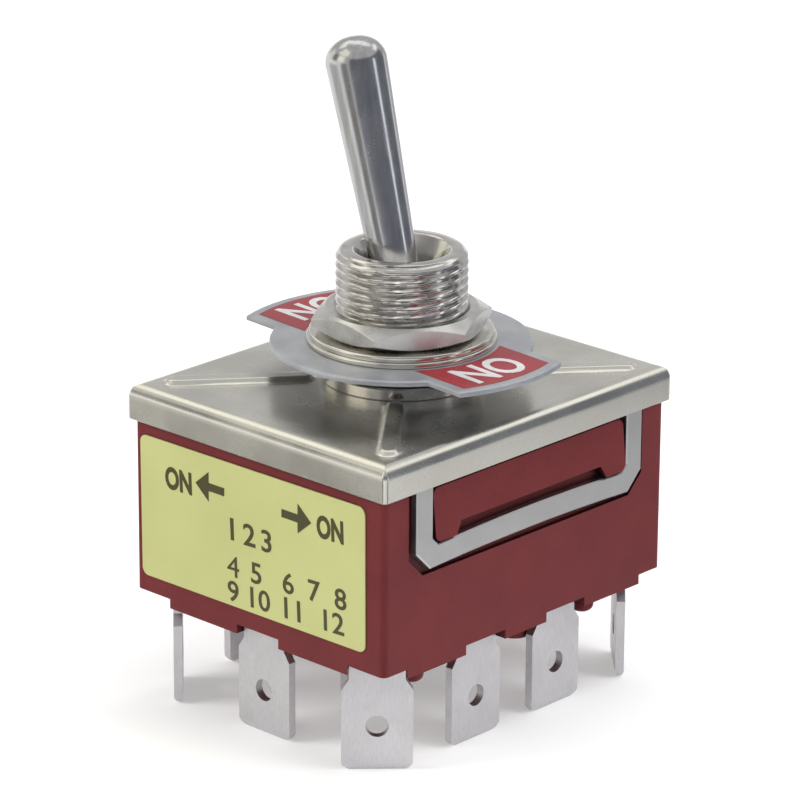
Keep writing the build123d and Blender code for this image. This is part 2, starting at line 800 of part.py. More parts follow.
# Plungers, round-nosed cups pushed down on the rockers by the coil springs inside them
for pole, row in zip(poles, rows):
    with BuildPart() as plunger:
        with BuildSketch(Plane.XY.offset(plunger_low)):
            with Locations((carriage_rest, row)):
                Circle(plunger_radius)
        extrude(amount=plunger_length)
        fillet(plunger.edges().group_by(Axis.Z)[0], plunger_tip_rounding)
        with BuildSketch(Plane.XY.offset(plunger_low + plunger_floor)):
            with Locations((carriage_rest, row)):
                Circle(plunger_radius - plunger_wall)
        extrude(amount=plunger_length - plunger_floor, mode=Mode.SUBTRACT)
    finish(plunger, f"plunger_{pole}")
    with BuildPart() as plunger_spring:
        with BuildLine():
            coil = Helix(
                pitch=(coil_high - coil_low) / coil_turns,
                height=coil_high - coil_low,
                radius=coil_radius,
                center=(carriage_rest, row, coil_low),
            )
        with BuildSketch(Plane(origin=coil @ 0, z_dir=coil % 0)):
            Circle(wire_radius)
        sweep(is_frenet=True)
    finish(plunger_spring, f"plunger_spring_{pole}")
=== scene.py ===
import bmesh
import bpy
import numpy as np
from math import asin, atan2, cos, pi, radians, sin, sqrt, tan
from mathutils import Matrix, Vector


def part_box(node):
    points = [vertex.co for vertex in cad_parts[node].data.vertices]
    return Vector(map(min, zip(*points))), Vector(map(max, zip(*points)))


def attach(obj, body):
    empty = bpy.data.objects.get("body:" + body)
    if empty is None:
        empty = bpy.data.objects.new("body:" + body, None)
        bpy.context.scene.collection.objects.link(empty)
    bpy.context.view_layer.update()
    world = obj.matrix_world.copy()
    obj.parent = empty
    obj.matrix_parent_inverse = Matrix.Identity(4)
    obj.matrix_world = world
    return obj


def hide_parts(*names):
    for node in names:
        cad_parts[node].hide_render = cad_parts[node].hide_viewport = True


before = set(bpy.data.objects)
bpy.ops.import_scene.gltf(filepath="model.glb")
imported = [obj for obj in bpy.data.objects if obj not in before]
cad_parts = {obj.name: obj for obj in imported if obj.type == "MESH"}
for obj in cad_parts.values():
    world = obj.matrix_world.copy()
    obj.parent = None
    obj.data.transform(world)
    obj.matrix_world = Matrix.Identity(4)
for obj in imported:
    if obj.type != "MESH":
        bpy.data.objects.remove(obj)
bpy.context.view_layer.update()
MM = 0.001

# Camera: a long lens looking down at the corner between the label and the loop, as in the photograph.
# Sizes are in millimetres, from the bushing's axis at the height of the cover's lower edge.
camera_turn, camera_height, camera_roll = radians(43.109), radians(19.600), radians(0.355)
camera_distance, slide_right, slide_up = 415.70, -0.110, 0.768
loop_drop = 7.5
cover_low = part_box("cover_plate")[0].z / MM + loop_drop
toward = np.array([sin(camera_turn) * cos(camera_height), -cos(camera_turn) * cos(camera_height),
                   sin(camera_height)])
level = np.array([cos(camera_turn), sin(camera_turn), 0.0])
upward = np.cross(toward, level)
camera_place = toward * camera_distance + level * slide_right + upward * slide_up + [0, 0, cover_low]
camera_right = level * cos(camera_roll) + upward * sin(camera_roll)
camera_up = upward * cos(camera_roll) - level * sin(camera_roll)
camera = bpy.data.objects.new("camera", bpy.data.cameras.new("camera"))
camera.data.sensor_width = 36.0
camera.data.lens = 205.88
camera.data.clip_start = 0.01
camera.data.clip_end = 20.0
camera.matrix_world = Matrix.Translation(camera_place * MM) @ Matrix(
    np.stack([camera_right, camera_up, toward], axis=1).tolist()).to_4x4()
bpy.context.scene.collection.objects.link(camera)
bpy.context.scene.camera = camera
bpy.context.scene.view_settings.view_transform = "Standard"


# Studio: a white sweep on a white background, three soft lamps and a light tent, all sized in metres. The tent
# shows in reflections alone: it is white low down and grey above, with dark and bright cards hung in it.
def add_node(tree, kind, links=(), **values):
    """One shader node: values set its own settings or its sockets by name, and links join (socket, source)
    pairs."""
    made = tree.nodes.new("ShaderNode" + kind)
    for name, value in values.items():
        if hasattr(made, name):
            setattr(made, name, value)
        else:
            made.inputs[name.replace("_", " ")].default_value = value
    for socket, source in links:
        tree.links.new(source, made.inputs[socket])
    return made


def ramp(tree, source, *stops):
    """Colour ramp over a source, from (place, colour) stops."""
    made = add_node(tree, "ValToRGB", [(0, source)])
    elements = made.color_ramp.elements
    while len(elements) < len(stops):
        elements.new(0.5)
    for element, (place, colour) in zip(elements, stops):
        element.position = place
        element.color = (*colour, 1.0)
    return made.outputs[0]


def bare_tree(owner):
    """Node tree of a material or of the world, emptied."""
    owner.use_nodes = True
    owner.node_tree.nodes.clear()
    return owner.node_tree


def by_sight(tree, lit, seen):
    """The seen shader for the camera, for reflections and through glass, and the lit one for all other light."""
    rays = add_node(tree, "LightPath")
    sight = rays.outputs["Is Camera Ray"]
    for other in ("Is Glossy Ray", "Is Transmission Ray"):
        sight = add_node(tree, "Math", [(0, sight), (1, rays.outputs[other])], operation="MAXIMUM").outputs[0]
    return add_node(tree, "MixShader", [(0, sight), (1, lit.outputs[0]), (2, seen.outputs[0])]).outputs[0]


white, sky_strength, paper_glow = (1.0, 1.0, 1.0, 1.0), 0.72, 0.34
world = bpy.data.worlds.new("studio")
bpy.context.scene.world = world
tree = bare_tree(world)
direction = add_node(tree, "TexCoord").outputs["Generated"]
height = add_node(tree, "SeparateXYZ", [(0, direction)]).outputs["Z"]
sky = ramp(tree, height, (0.06, (1.0, 1.0, 1.0)), (0.22, (0.46, 0.47, 0.46)), (0.62, (0.55, 0.55, 0.56)))
skylight = add_node(tree, "Background", [("Color", sky)], Strength=sky_strength)
blank = add_node(tree, "Background", Color=white, Strength=1.0)
add_node(tree, "OutputWorld", [("Surface", by_sight(tree, skylight, blank))])

floor_half = 4.0
floor_mesh = bpy.data.meshes.new("floor")
corners = np.array([[-1, -1, 0], [1, -1, 0], [1, 1, 0], [-1, 1, 0]]) * floor_half
floor_mesh.from_pydata(corners.tolist(), [], [(0, 1, 2, 3)])
floor = bpy.data.objects.new("floor", floor_mesh)
bpy.context.scene.collection.objects.link(floor)
paper = bpy.data.materials.new("paper_sweep")
tree = bare_tree(paper)
matt = add_node(tree, "BsdfDiffuse", Color=(0.80, 0.80, 0.80, 1.0))
glow = add_node(tree, "Emission", Color=white, Strength=paper_glow)
bright = add_node(tree, "AddShader", [(0, matt.outputs[0]), (1, glow.outputs[0])])
add_node(tree, "OutputMaterial", [("Surface", by_sight(tree, matt, bright))])
floor_mesh.materials.append(paper)

# Each card of the tent is (bearing, half width, lowest, highest, tone), all but the tone in degrees. A later
# card hangs in front of an earlier one, and every card fades out over its edges.
tent_heart, tent_radius, tent_lift = 0.050, 0.60, 0.001
card_side_fade, card_end_fade = 3, 1
cloth_rise = (-50, -26.5, -24.5, 5, 12, 60, 90)
cloth_tone = (0.74, 0.74, 1.00, 1.02, 0.56, 0.56, 0.60)
tent_cards = {
    "paper left of the lever": (-142, 20, -22.5, -6.0, (0.62, 0.62, 0.59)),
    "dark left": (-93, 13, -25.5, 6.0, (0.27, 0.27, 0.26)),
    "camera's own side": (-44, 32, -8.0, 30.0, (0.17, 0.18, 0.21)),
    "thread, dark left": (-72, 10, -26.0, -22.0, (0.32, 0.31, 0.31)),
    "thread, bright streak": (-54, 4, -26.0, -17.0, (1.80, 1.80, 1.90)),
    "thread, dark middle": (-3, 8, -26.0, -22.0, (0.34, 0.33, 0.33)),
    "dark right": (31, 46, -22.0, 30.0, (0.19, 0.20, 0.23)),
    "thread, dark right": (42, 14, -26.0, -22.0, (0.24, 0.24, 0.26)),
    "lever, bright streak": (24, 3, -26.0, 18.0, (1.80, 1.88, 2.00)),
    "right edge": (98, 12, -22.0, 12.0, (0.52, 0.54, 0.58)),
    "high left": (172, 24, 39.0, 57.0, (1.45, 1.42, 1.24)),
    "dark band, far left": (-141, 11, 8.0, 30.0, (0.20, 0.20, 0.19)),
    "horizon stripe": (-146, 22, -3.0, 4.0, (1.20, 1.20, 1.10)),
    "high right": (74, 18, 33.0, 46.0, (1.4, 1.4, 1.36)),
    "high behind": (118, 48, 52.0, 74.0, (1.35, 1.35, 1.32)),
    "warm far left": (-170, 12, 7.0, 26.0, (0.95, 0.95, 0.78)),
    "floor left": (-133, 30, -50.0, -24.4, (0.40, 0.40, 0.37)),
    "high front left": (-118, 26, 36.0, 60.0, (1.3, 1.27, 1.1)),
    "bushing's mouth": (-112, 15, 10.0, 33.0, (1.3, 1.27, 1.1)),
}
tent_bearing = np.linspace(-180, 180, 181)[None, :]
tent_rise = np.concatenate([np.linspace(-50, 20, 106), np.linspace(21, 90, 47)])[:, None]


def soft_step(inside):
    """0 below 0 and 1 above 1, with a smooth step between them."""
    share = np.clip(inside, 0, 1)
    return share * share * (3 - 2 * share)


def tent_points(bearing, rise):
    """The tent round the object: from a heart above the origin each direction runs to the tent's radius, or to
    just above the floor where that is nearer."""
    rise, bearing = np.radians(rise), np.radians(bearing)
    reach = np.where(rise < 0, (tent_heart - tent_lift) / np.maximum(np.sin(-rise), 1e-6), tent_radius)
    reach = np.minimum(reach, tent_radius)
    return np.stack([reach * np.cos(rise) * np.cos(bearing), reach * np.cos(rise) * np.sin(bearing),
                     tent_heart + reach * np.sin(rise) + 0 * bearing], axis=-1)


tent_tone = (np.interp(tent_rise, cloth_rise, cloth_tone) + 0 * tent_bearing)[..., None] * np.ones(3)
for middle, half, low, high, tint in tent_cards.values():
    aside = np.abs((tent_bearing - middle + 180) % 360 - 180)
    share = soft_step((half + card_side_fade - aside) / (2 * card_side_fade))
    share = share * soft_step((tent_rise - low + card_end_fade) / (2 * card_end_fade))
    share = (share * soft_step((high + card_end_fade - tent_rise) / (2 * card_end_fade)))[..., None]
    tent_tone = tent_tone * (1 - share) + np.array(tint) * share
tent_grid = tent_points(tent_bearing, tent_rise)
index = np.arange(tent_grid[..., 0].size).reshape(tent_grid.shape[:2])
tent_quads = np.stack([index[:-1, :-1], index[:-1, 1:], index[1:, 1:], index[1:, :-1]], axis=-1)
tent_mesh = bpy.data.meshes.new("light_tent")
tent_mesh.from_pydata(tent_grid.reshape(-1, 3).tolist(), [], tent_quads.reshape(-1, 4).tolist())
tent_colour = np.concatenate([tent_tone, np.ones_like(tent_tone[..., :1])], axis=-1)
tent_mesh.attributes.new("tone", "FLOAT_COLOR", "POINT").data.foreach_set(
    "color", tent_colour.ravel().astype(np.float32))
tent_cloth = bpy.data.materials.new("tent_cloth")
tree = bare_tree(tent_cloth)
tone = add_node(tree, "Attribute", attribute_name="tone").outputs["Color"]
glow = add_node(tree, "Emission", [("Color", tone)], Strength=1.0)
add_node(tree, "OutputMaterial", [("Surface", glow.outputs[0])])
tent_mesh.materials.append(tent_cloth)
tent = bpy.data.objects.new("light_tent", tent_mesh)
tent.visible_camera = tent.visible_diffuse = tent.visible_shadow = tent.visible_transmission = False
bpy.context.scene.collection.objects.link(tent)

lamp_aim = Vector((0.0, 0.0, 0.03))
for lamp_name, place, width, watts, colour in (
    ("soft_left", (-0.52, -0.62, 0.52), 0.46, 4.6, (1.0, 0.985, 0.95)),
    ("soft_right", (0.60, 0.30, 0.45), 0.40, 2.2, (0.97, 0.985, 1.0)),
    ("soft_above", (0.05, 0.22, 0.85), 0.60, 3.4, (1.0, 1.0, 1.0)),
):
    lamp = bpy.data.lights.new(lamp_name, "AREA")
    lamp.shape = "RECTANGLE"
    lamp.size = lamp.size_y = width
    lamp.energy = watts
    lamp.color = colour
    lamp_object = bpy.data.objects.new(lamp_name, lamp)
    lamp_object.visible_glossy = False
    lamp_object.location = place
    lamp_object.rotation_euler = (lamp_aim - Vector(place)).to_track_quat("-Z", "Y").to_euler()
    bpy.context.scene.collection.objects.link(lamp_object)


# Housing: a box moulded in dark red phenolic, satin, with the fine mottle of its filler, faint flow marks and
# a few handling scratches. Painted shade darkens its colour in recesses, in the gaps round the loops and under
# them. It carries every terminal, and its wedges hold the cover's loops.
def surface_marks():
    """Group for a handled surface, over object coordinates in millimetres. Cloud is a slow drift, Grain a fine
    speckle, Scratch a mask of long thin lines at two angles, and Roughness runs from Low to High with the
    three."""
    long_thin, scratch_fade, grain_rise, scratch_rise = (0.12, 4.0, 4.0), 0.05, 0.06, 0.12
    group = bpy.data.node_groups.new("surface_marks", "ShaderNodeTree")
    for name, value in (("Cloud Scale", 0.25), ("Grain Scale", 9.0), ("Low", 0.3), ("High", 0.5),
                        ("Scratches", 0.5)):
        socket = group.interface.new_socket(name, in_out="INPUT", socket_type="NodeSocketFloat")
        socket.default_value = value
    for name in ("Cloud", "Grain", "Scratch", "Roughness"):
        group.interface.new_socket(name, in_out="OUTPUT", socket_type="NodeSocketFloat")
    given = group.nodes.new("NodeGroupInput").outputs
    place = add_node(group, "TexCoord").outputs["Object"]
    place = add_node(group, "Mapping", [(0, place)], Scale=(1000, 1000, 1000)).outputs[0]
    cloud, grain = (
        add_node(group, "TexNoise", [("Vector", place), ("Scale", given[scale])], Detail=detail).outputs[0]
        for scale, detail in (("Cloud Scale", 4.0), ("Grain Scale", 2.0)))
    scratches = []
    for turn, rare in ((0.5, 0.69), (2.1, 0.71)):
        lines = add_node(group, "Mapping", [(0, place)], Rotation=(turn, turn, turn), Scale=long_thin)
        lines = add_node(group, "TexNoise", [("Vector", lines.outputs[0])], Scale=1.0, Detail=1.0)
        lines = add_node(group, "MapRange", [(0, lines.outputs[0])], From_Min=rare,
                         From_Max=rare + scratch_fade)
        scratches.append(lines.outputs[0])
    scratch = add_node(group, "Math", enumerate(scratches), operation="MAXIMUM").outputs[0]
    scratch = add_node(group, "Math", [(0, scratch), (1, given["Scratches"])],
                       operation="MULTIPLY").outputs[0]
    drift = add_node(group, "MapRange", [(0, cloud), (3, given["Low"]), (4, given["High"])],
                     From_Min=0.3, From_Max=0.7).outputs[0]
    speckle = add_node(group, "Math", [(0, grain), (2, drift)], operation="MULTIPLY_ADD")
    speckle.inputs[1].default_value = grain_rise
    rough = add_node(group, "Math", [(0, scratch), (2, speckle.outputs[0])], operation="MULTIPLY_ADD")
    rough.inputs[1].default_value = scratch_rise
    result = group.nodes.new("NodeGroupOutput")
    for name, source in (("Cloud", cloud), ("Grain", grain), ("Scratch", scratch),
                         ("Roughness", rough.outputs[0])):
        group.links.new(source, result.inputs[name])
    return group


marks = surface_marks()


def new_finish(name, low, high, cloud=0.25, grain=9.0, scratches=0.5, **values):
    """Material with a Principled shader whose roughness runs from low to high with the surface marks; returns
    it with its tree, its shader and the marks' outputs."""
    finish = bpy.data.materials.new(name)
    tree = bare_tree(finish)
    wear = tree.nodes.new("ShaderNodeGroup")
    wear.node_tree = marks
    for socket, value in (("Cloud Scale", cloud), ("Grain Scale", grain), ("Low", low), ("High", high),
                          ("Scratches", scratches)):
        wear.inputs[socket].default_value = value
    shader = add_node(tree, "BsdfPrincipled", [("Roughness", wear.outputs["Roughness"])])
    for socket, value in values.items():
        shader.inputs[socket.replace("_", " ")].default_value = value
    add_node(tree, "OutputMaterial", [("Surface", shader.outputs[0])])
    return finish, tree, shader, wear.outputs


def multiplied(tree, first, second, share):
    """First colour multiplied by a share of the second."""
    made = add_node(tree, "Mix", data_type="RGBA", blend_type="MULTIPLY")
    made.inputs["Factor"].default_value = share
    for socket, source in zip([socket for socket in made.inputs if socket.type == "RGBA"], (first, second)):
        tree.links.new(source, socket)
    return next(socket for socket in made.outputs if socket.type == "RGBA")


def tinted(tree, shader, source, *stops):
    """Base colour of the shader from a colour ramp over a source."""
    tree.links.new(ramp(tree, source, *stops), shader.inputs["Base Color"])


def relief(tree, shader, height, strength, depth):
    """Bump of the given height field, depth in metres, on the shader's normal."""
    bump = add_node(tree, "Bump", [("Height", height)], Strength=strength, Distance=depth)
    tree.links.new(bump.outputs[0], shader.inputs["Normal"])


phenolic, tree, shader, wear = new_finish("red_phenolic", 0.36, 0.50, cloud=0.18, grain=6.0, scratches=0.35,
                                          Specular_IOR_Level=0.18)
tone = ramp(tree, wear["Cloud"], (0.32, (0.165, 0.024, 0.027)), (0.70, (0.200, 0.031, 0.034)))
speck = ramp(tree, wear["Grain"], (0.30, (0.80, 0.80, 0.80)), (0.62, (1.0, 1.0, 1.0)))
# Painted shade: an ambient occlusion ramp darkens the phenolic's colour in recesses, slots and the gaps under
# the loops, where shade falls.
hollow = add_node(tree, "AmbientOcclusion", Distance=0.0016, samples=8)
painted_recess_shade = ramp(tree, hollow.outputs["AO"], (0.36, (0.13, 0.12, 0.12)), (0.88, (1.0, 1.0, 1.0)))
tone = multiplied(tree, multiplied(tree, tone, speck, 0.5), painted_recess_shade, 1.0)
tree.links.new(tone, shader.inputs["Base Color"])
relief(tree, shader, wear["Grain"], strength=0.35, depth=0.00003)
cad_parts["housing"].data.materials[0] = phenolic


# Cover: one steel cap pressed from sheet and nickel plated, with rounded top edges, a seam at each corner and
# four ribs pressed up along the diagonals. A loop hangs from each long side and snaps over the housing's wedge.
def grid_mesh(name, points, wrap_rows, wrap_columns):
    """Quads over a grid of points in millimetres, rows by columns; a wrapped direction joins its last line to
    its first. Points that fall together, as at a pole, are merged, and the faces are turned outwards."""
    rows, columns = points.shape[:2]
    index = np.arange(rows * columns).reshape(rows, columns)
    if wrap_rows:
        index = np.vstack([index, index[:1]])
    if wrap_columns:
        index = np.hstack([index, index[:, :1]])
    quads = np.stack([index[:-1, :-1], index[1:, :-1], index[1:, 1:], index[:-1, 1:]], axis=-1).reshape(-1, 4)
    mesh = bpy.data.meshes.new(name)
    mesh.from_pydata((points.reshape(-1, 3) * MM).tolist(), [], quads.tolist())
    shape = bmesh.new()
    shape.from_mesh(mesh)
    bmesh.ops.remove_doubles(shape, verts=shape.verts, dist=1e-7)
    bmesh.ops.recalc_face_normals(shape, faces=shape.faces)
    shape.to_mesh(mesh)
    shape.free()
    return mesh


def new_piece(mesh, finish, sharp=30.0):
    """Object of a mesh, smooth apart from edges that turn more than the sharp angle, with its finish."""
    mesh.shade_smooth()
    mesh.set_sharp_from_angle(angle=radians(sharp))
    mesh.materials.append(finish)
    piece = bpy.data.objects.new(mesh.name, mesh)
    bpy.context.scene.collection.objects.link(piece)
    return piece


def nickel(name, low, high, tint_dark, tint_light, **kind):
    """Mirror metal, as nickel plate is, with a drifting tint, faint scratches and a slight waviness."""
    finish, tree, shader, wear = new_finish(name, low, high, Metallic=1.0, **kind)
    tinted(tree, shader, wear["Cloud"], (0.35, tint_dark), (0.65, tint_light))
    relief(tree, shader, wear["Cloud"], strength=0.25, depth=0.00005)
    return finish


cover_half_x, cover_half_y, cover_corner, cover_bend, cover_sheet = 16.03, 19.08, 0.5, 1.15, 0.8
cover_top, cover_hole, cover_easing, inner_corner, least_corner = cover_low + 3.27, 6.6, 0.08, 0.4, 0.02
rib_middle, rib_half, rib_foot, rib_flank, rib_rise = 14.7, 5.8, 1.2, 0.65, 0.40
seam_aside, seam_depth = 5, 0.11
side_close = 0.90
near_corner = np.concatenate([np.linspace(0, side_close, 26, endpoint=False),
                              np.linspace(side_close, 1.0, 26, endpoint=False)])
along_side = np.concatenate([-near_corner[::-1], near_corner[1:]])
along_arc = np.linspace(0, pi / 2, 17)


def rounded_ring(half_x, half_y, corner):
    """Plan outline of a rounded rectangle: four quarter arcs joined by straight sides, from the same list of
    fractions whatever its size, so that rings of several sizes line up point for point."""
    inner_x, inner_y = half_x - corner, half_y - corner
    centres = ((inner_x, inner_y), (-inner_x, inner_y), (-inner_x, -inner_y), (inner_x, -inner_y))
    sides = ((-along_side * inner_x, half_y), (-half_x, -along_side * inner_y),
             (along_side * inner_x, -half_y), (half_x, along_side * inner_y))
    parts = []
    for turn, (centre, side) in enumerate(zip(centres, sides)):
        angle = along_arc + turn * pi / 2
        parts.append(np.array(centre) + corner * np.stack([np.cos(angle), np.sin(angle)], axis=1))
        parts.append(np.stack(np.broadcast_arrays(*side), axis=1))
    return np.concatenate(parts)


def cover_ring(inset):
    """Plan outline of the cover's outside, drawn in by an inset."""
    return rounded_ring(cover_half_x - inset, cover_half_y - inset, max(cover_corner - inset, least_corner))


def raised(plan, height):
    """Plan points set at a height, one for all of them or one for each."""
    return np.column_stack([plan, height + 0 * plan[:, 0]])


def rib_height(plan):
    """Height of the four pressed ribs over the plan: a smooth step of the distance from a line along each
    diagonal, so that a rib is flat on top, 1.1 wide there and 2.4 at its foot, with round ends."""
    diagonal = np.array([cover_half_x, cover_half_y]) / np.hypot(cover_half_x, cover_half_y)
    folded = np.abs(plan)
    along = folded @ diagonal
    across = np.abs(folded @ np.array([-diagonal[1], diagonal[0]]))
    beyond = np.maximum(np.abs(along - rib_middle) - rib_half, 0)
    return rib_rise * soft_step((rib_foot - np.hypot(beyond, across)) / rib_flank)


lower_edge = [(cover_sheet, cover_low), (cover_easing, cover_low), (0, cover_low + cover_easing)]
wall = [(0, z) for z in np.linspace(cover_low + cover_easing + 0.05, cover_top - cover_bend, 9)]
bend = [(cover_bend * (1 - cos(turn)), cover_top - cover_bend * (1 - sin(turn)))
        for turn in np.linspace(0, pi / 2, 13)[1:]]
ring_rows = [raised(cover_ring(inset), z) for inset, z in lower_edge + wall + bend]
edge_ring = cover_ring(cover_bend)
bearing = np.arctan2(edge_ring[:, 1], edge_ring[:, 0])
hole_ring = cover_hole * np.stack([np.cos(bearing), np.sin(bearing)], axis=1)
for share in np.linspace(0, 1, 100)[1:]:
    plan = edge_ring * (1 - share) + hole_ring * share
    ring_rows.append(raised(plan, cover_top + rib_height(plan)))
under_ring = rounded_ring(cover_half_x - cover_sheet, cover_half_y - cover_sheet, inner_corner)
ring_rows += [raised(hole_ring, cover_top - cover_sheet), raised(under_ring, cover_top - cover_sheet)]
cover_points = np.stack(ring_rows)
arc_middle = np.arange(4)[:, None] * (len(along_arc) + len(along_side)) + len(along_arc) // 2
seams = (arc_middle + [-seam_aside, seam_aside]).ravel()
walls = cover_points[1:len(lower_edge) + len(wall), :, :2]
pulled = walls[:, seams]
walls[:, seams] = pulled - seam_depth * pulled / np.linalg.norm(pulled, axis=-1, keepdims=True)
cover_nickel = nickel("cover_nickel", 0.16, 0.28, (0.66, 0.64, 0.585), (0.75, 0.73, 0.67), cloud=0.16,
                      grain=5.0)
cover = new_piece(grid_mesh("cover", cover_points, True, True), cover_nickel, sharp=40.0)
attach(cover, "base")
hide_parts("cover_plate")

loop_half, loop_bar, loop_chamfer, loop_inner_chamfer, loop_bow = 15.0, 2.1, 1.8, 0.75, 0.3
loop_low, loop_top, loop_face = cover_low - loop_drop, cover_low + 0.4, cover_half_x - 0.01
loop_easing, loop_back = 0.12, 0.78


def loop_line(half, low, chamfer):
    """Centre line of one edge of the loop in its own face (across, height): down one leg, over the cut corner,
    along the bar, which bows up a little in the middle, and up the other leg."""
    leg = np.linspace(0, 1, 8)[:, None]
    corner = np.linspace(0, 1, 5)[1:, None]
    bar = np.linspace(-1, 1, 41)[1:]
    down = np.array([-half, loop_top]) * (1 - leg) + np.array([-half, low + chamfer]) * leg
    cut = down[-1] * (1 - corner) + np.array([-half + chamfer, low]) * corner
    base = np.stack([bar * (half - chamfer), low + loop_bow * (1 - bar * bar)], axis=1)
    left = np.concatenate([down, cut])
    right = np.stack([-left[::-1, 0], left[::-1, 1]], axis=1)
    return np.concatenate([left, base[:-1], right])


outer_line = loop_line(loop_half, loop_low, loop_chamfer)[:, None]
inner_line = loop_line(loop_half - loop_bar, loop_low + loop_bar, loop_inner_chamfer)[:, None]
across = np.array([0, 0, loop_easing, loop_bar - loop_easing, loop_bar, loop_bar, loop_bar, 0]) / loop_bar
depth = np.array([loop_back, loop_easing, 0, 0, loop_easing, loop_back, loop_back, loop_back])
flat = outer_line * (1 - across)[:, None] + inner_line * across[:, None]
loop_nickel = nickel("loop_nickel", 0.30, 0.42, (0.51, 0.505, 0.51), (0.57, 0.565, 0.565), cloud=0.3,
                     grain=8.0)
for side_name, side in (("loop_right", 1), ("loop_left", -1)):
    depths = np.broadcast_to(side * (loop_face - depth), flat.shape[:2])
    band = np.stack([depths, flat[..., 0], flat[..., 1]], axis=-1)
    ends = [np.repeat(band[end].mean(axis=0)[None], band.shape[1], axis=0)[None] for end in (0, -1)]
    band = np.concatenate([ends[0], band, ends[1]])
    loop = new_piece(grid_mesh(side_name, band, False, True), loop_nickel)
    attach(loop, "base")
    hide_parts("cover_plate")


# Bushing: one turned piece, nickel plated, with a fine thread rolled on its outside and a bright conical mouth
# that lets the lever tip. It is swaged into the cover from above.
def turned(profile, steps=192, shape=None):
    """Surface of revolution about Z: each (radius, height) of the profile goes round a full turn. A shape
    function of the radius, height and angle can change the radius, as a thread does."""
    angle = np.linspace(0, 2 * pi, steps, endpoint=False)[None, :]
    radius, height = profile[:, :1], profile[:, 1:2]
    full = radius + 0 * angle if shape is None else shape(radius, height, angle)
    return np.stack([full * np.cos(angle), full * np.sin(angle), height + 0 * angle], axis=-1)


def swung(radius, start, end, steps):
    """Arc of a profile about its own origin, from one angle above the horizontal to another."""
    angle = np.linspace(start, end, steps)
    return radius * np.stack([np.cos(angle), np.sin(angle)], axis=1)


thread_radius, thread_minor, thread_pitch, thread_depth = 6.0, 5.46, 0.82, 0.46
crest_share, flank_share, chamfer_in, chamfer_slope, thread_step, nut_clear = 0.25, 0.62, 0.45, 0.8, 0.062, 0.25
collar_top, lower_nut_top = (corner.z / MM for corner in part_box("lower_nut"))
upper_nut_low, upper_nut_top = (corner.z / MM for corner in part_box("upper_nut"))
bushing_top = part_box("bushing")[1].z / MM
pivot_height = bushing_top - 5.3
cup_low, cover_under, collar_low = collar_top - 3.13, cover_top - cover_sheet, cover_top
seat_radius, seat_swing, cup_radius, cup_top = 3.35, 0.48, 4.6, pivot_height - 0.8


def thread_shape(radius, height, angle):
    """Radius on the threaded length: a V groove of the pitch and depth that climbs one pitch a turn, cut off by
    the chamfer at the top and left at the minor radius where a nut sits on it. Elsewhere the radius as given."""
    phase = (height / thread_pitch - angle / (2 * pi)) % 1.0
    groove = np.clip((np.abs(2 * phase - 1) - crest_share) / flank_share, 0, 1)
    crest = thread_radius - thread_depth * groove
    crest = np.minimum(crest, thread_radius - chamfer_in + (bushing_top - height) * chamfer_slope)
    in_lower_nut = (height > collar_top - 0.02) & (height < lower_nut_top)
    in_upper_nut = (height > upper_nut_low) & (height < upper_nut_top - nut_clear)
    crest = np.where(in_lower_nut | in_upper_nut, thread_minor, crest)
    threaded = (np.abs(radius - thread_radius) < 1e-6) & (height > collar_top + 1e-6)
    return np.where(threaded, crest, radius + 0 * angle)


bottom = np.array([(7.5, cup_low), (7.5, cover_under), (6.6, cover_under), (6.6, collar_low),
                   (7.22, collar_low), (7.3, collar_low + 0.08), (7.3, collar_top - 0.12), (7.18, collar_top),
                   (thread_radius, collar_top)])
thread_heights = np.arange(collar_top + 0.05, bushing_top - 0.12, thread_step)
thread = np.stack([np.full(len(thread_heights), thread_radius), thread_heights], axis=1)
rim_and_mouth = np.array([(5.50, -0.06), (5.38, 0), (4.62, 0), (4.46, -0.03), (4.34, -0.14), (3.62, -1.65),
                          (2.98, -3.12), (2.95, -3.35), (2.97, -3.75)]) + [0, bushing_top]
seat = swung(seat_radius, seat_swing, 0.0, 7) + [0, pivot_height]
cup = np.array([(seat_radius, cup_top), (cup_radius, cup_top), (cup_radius, cup_low)])
bushing_profile = np.concatenate([bottom, thread, rim_and_mouth, seat, cup])
turned_nickel = nickel("turned_nickel", 0.09, 0.16, (0.58, 0.56, 0.535), (0.69, 0.67, 0.645), cloud=0.5,
                       grain=12.0)
bushing = new_piece(grid_mesh("threaded_bushing", turned(bushing_profile, 240, thread_shape), True, True),
                    turned_nickel, sharp=38.0)
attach(bushing, "base")
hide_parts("bushing")

# Nuts: thin hexagons cut from bar, with both faces turned to a cone, so that each flat ends in two arcs.
# The lower one backs the legend plate and the upper one clamps the panel; both are nickel plated.
nut_half, nut_slope, nut_bore = 14.5 / 2, tan(radians(28.0)), 5.48
face_inset, rim_in, rim_down, lead_in, lead_down = 0.35, 0.05, 0.06, 0.75, 0.5


def hexagon_nut(low, high, turn):
    """Nut on a grid of angle by section: the side radius is half the width over flats divided by the cosine of
    the angle from the nearest flat, and each face falls away by the slope beyond the inscribed circle."""
    sixth = pi / 3
    fraction = np.concatenate([np.linspace(-0.5, 0.5, 21)[:-1] + k for k in range(6)])
    angle = (fraction + 0.5) * sixth + radians(turn)
    side = nut_half / np.cos((fraction - np.round(fraction)) * sixth)
    drop = np.maximum(side - nut_half + face_inset, 0) * nut_slope
    bore, lead, face = (np.full_like(side, radius)
                        for radius in (nut_bore, nut_bore + lead_in, nut_half - face_inset))
    rows = [(bore, low + lead_down), (lead, low), (face, low), (side - rim_in, low + drop),
            (side, low + drop + rim_down), (side, high - drop - rim_down), (side - rim_in, high - drop),
            (face, high), (lead, high), (bore, high - lead_down)]
    return np.stack([np.stack([radius * np.cos(angle), radius * np.sin(angle), height + 0 * angle], axis=-1)
                     for radius, height in rows])


